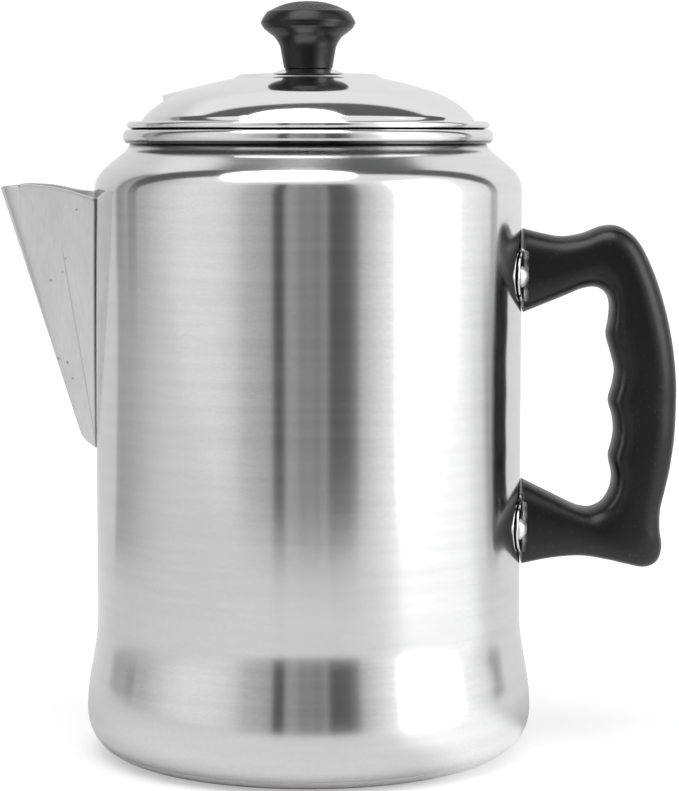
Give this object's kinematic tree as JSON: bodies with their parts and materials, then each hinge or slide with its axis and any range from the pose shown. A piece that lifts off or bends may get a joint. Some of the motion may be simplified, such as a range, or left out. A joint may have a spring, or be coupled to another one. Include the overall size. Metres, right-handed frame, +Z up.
{
  "type": "stovetop coffee percolator",
  "caption": "Tall aluminium stovetop percolator with an open pouring spout, black finger-grip handle, lift-off knobbed lid, and a pump with a perforated coffee basket inside.",
  "frame": {"origin": "centre of the ring that the pot stands on, on the pot's axis", "axes": "+Z up along the pot's axis, +X towards the handle, -X towards the spout"},
  "size_m": [0.2224, 0.1472, 0.2467],
  "materials": {
    "pot_aluminium": "brushed",
    "spout_aluminium": "satin",
    "lid_aluminium": "polished",
    "inner_aluminium": "satin",
    "black_phenolic": "satin",
    "bracket_metal": "bright",
    "rivet_aluminium": "bright",
    "brass": "satin",
    "screw_steel": "satin"
  },
  "bodies": {
    "pot": {"body_shell": "pot_aluminium", "spout": "spout_aluminium", "handle": "black_phenolic", "handle_bracket_upper": "bracket_metal", "handle_bracket_lower": "bracket_metal", "rivet_upper_front": "rivet_aluminium", "rivet_upper_back": "rivet_aluminium", "rivet_lower_front": "rivet_aluminium", "rivet_lower_back": "rivet_aluminium"},
    "pump": {"pump_tube": "inner_aluminium", "basket_stop": "inner_aluminium", "pump_foot": "inner_aluminium", "valve_cage": "inner_aluminium"},
    "valve": {"valve_disc": "screw_steel"},
    "basket": {"basket": "inner_aluminium", "basket_sleeve": "inner_aluminium"},
    "cover": {"basket_cover": "inner_aluminium"},
    "lid": {"lid_shell": "lid_aluminium", "lid_knob": "black_phenolic", "knob_insert": "brass", "knob_screw": "screw_steel", "knob_washer": "screw_steel"}
  },
  "joints": [
    {"name": "pump_lift", "type": "slide", "parent": "pot", "child": "pump", "axis": [0, 0, 1], "range_m": [0, 0.21]},
    {"name": "valve_lift", "type": "slide", "parent": "pump", "child": "valve", "axis": [0, 0, 1], "range_m": [0, 0.0033]},
    {"name": "basket_lift", "type": "slide", "parent": "pump", "child": "basket", "axis": [0, 0, 1], "range_m": [0, 0.085]},
    {"name": "cover_lift", "type": "slide", "parent": "basket", "child": "cover", "axis": [0, 0, 1], "range_m": [0, 0.04]},
    {"name": "lid_lift", "type": "slide", "parent": "cover", "child": "lid", "axis": [0, 0, 1], "range_m": [0, 0.06]}
  ]
}
